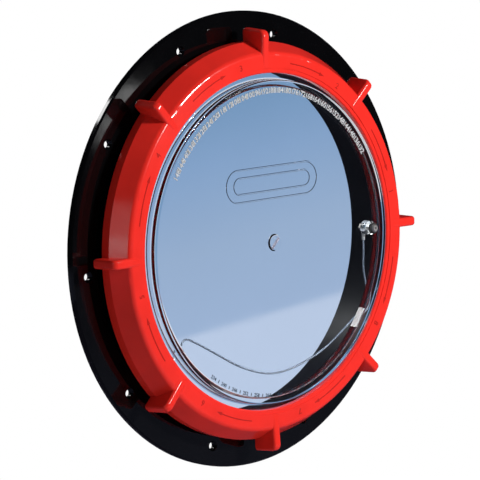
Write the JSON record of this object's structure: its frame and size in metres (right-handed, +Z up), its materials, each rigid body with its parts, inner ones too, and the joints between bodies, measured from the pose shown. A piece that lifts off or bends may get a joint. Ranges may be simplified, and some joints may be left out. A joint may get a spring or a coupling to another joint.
{
  "type": "inspection hatch",
  "caption": "Round watertight screw-down inspection hatch: flanged frame with threaded coaming, clear lid, lugged locking ring and lanyard.",
  "frame": {"origin": "centre of the flange's back face, the plane that lies on the bulkhead, on the hatch axis", "axes": "-Y along the hatch axis towards the front, where the ring and lid are; +Z up; +X to the right seen from the front"},
  "size_m": [0.34, 0.0514, 0.34],
  "materials": {
    "black_moulding": "gloss moulded ASA",
    "red_moulding": "semi-gloss moulded ASA",
    "clear_moulding": "clear moulded polycarbonate",
    "seal_rubber": "moulded rubber",
    "stainless_steel": "turned stainless steel",
    "coated_wire": "nylon-coated wire"
  },
  "bodies": {
    "frame": {"mounting_frame": "black_moulding", "lanyard_line": "coated_wire", "lanyard_frame_eye": "stainless_steel", "anchor_screw": "stainless_steel", "anchor_nut": "stainless_steel"},
    "lid": {"clear_lid": "clear_moulding", "lid_seal": "seal_rubber", "tether_screw": "stainless_steel", "sealing_washer": "seal_rubber", "tether_washer": "stainless_steel", "lanyard_lid_eye": "stainless_steel", "tether_nut": "stainless_steel"},
    "ring": {"locking_ring": "red_moulding"}
  },
  "joints": [
    {"name": "lid_rise", "type": "slide", "parent": "frame", "child": "lid", "axis": [0, -1, 0], "range_m": [0, 0.0091]},
    {"name": "ring_turn", "type": "hinge", "parent": "lid", "child": "ring", "pos_m": [0, 0, 0], "axis": [0, -1, 0], "range_deg": [0, 540]}
  ],
  "couplings": [
    {"joint": "lid_rise", "follows": "ring_turn", "m_per_rad": 0.00095493}
  ]
}
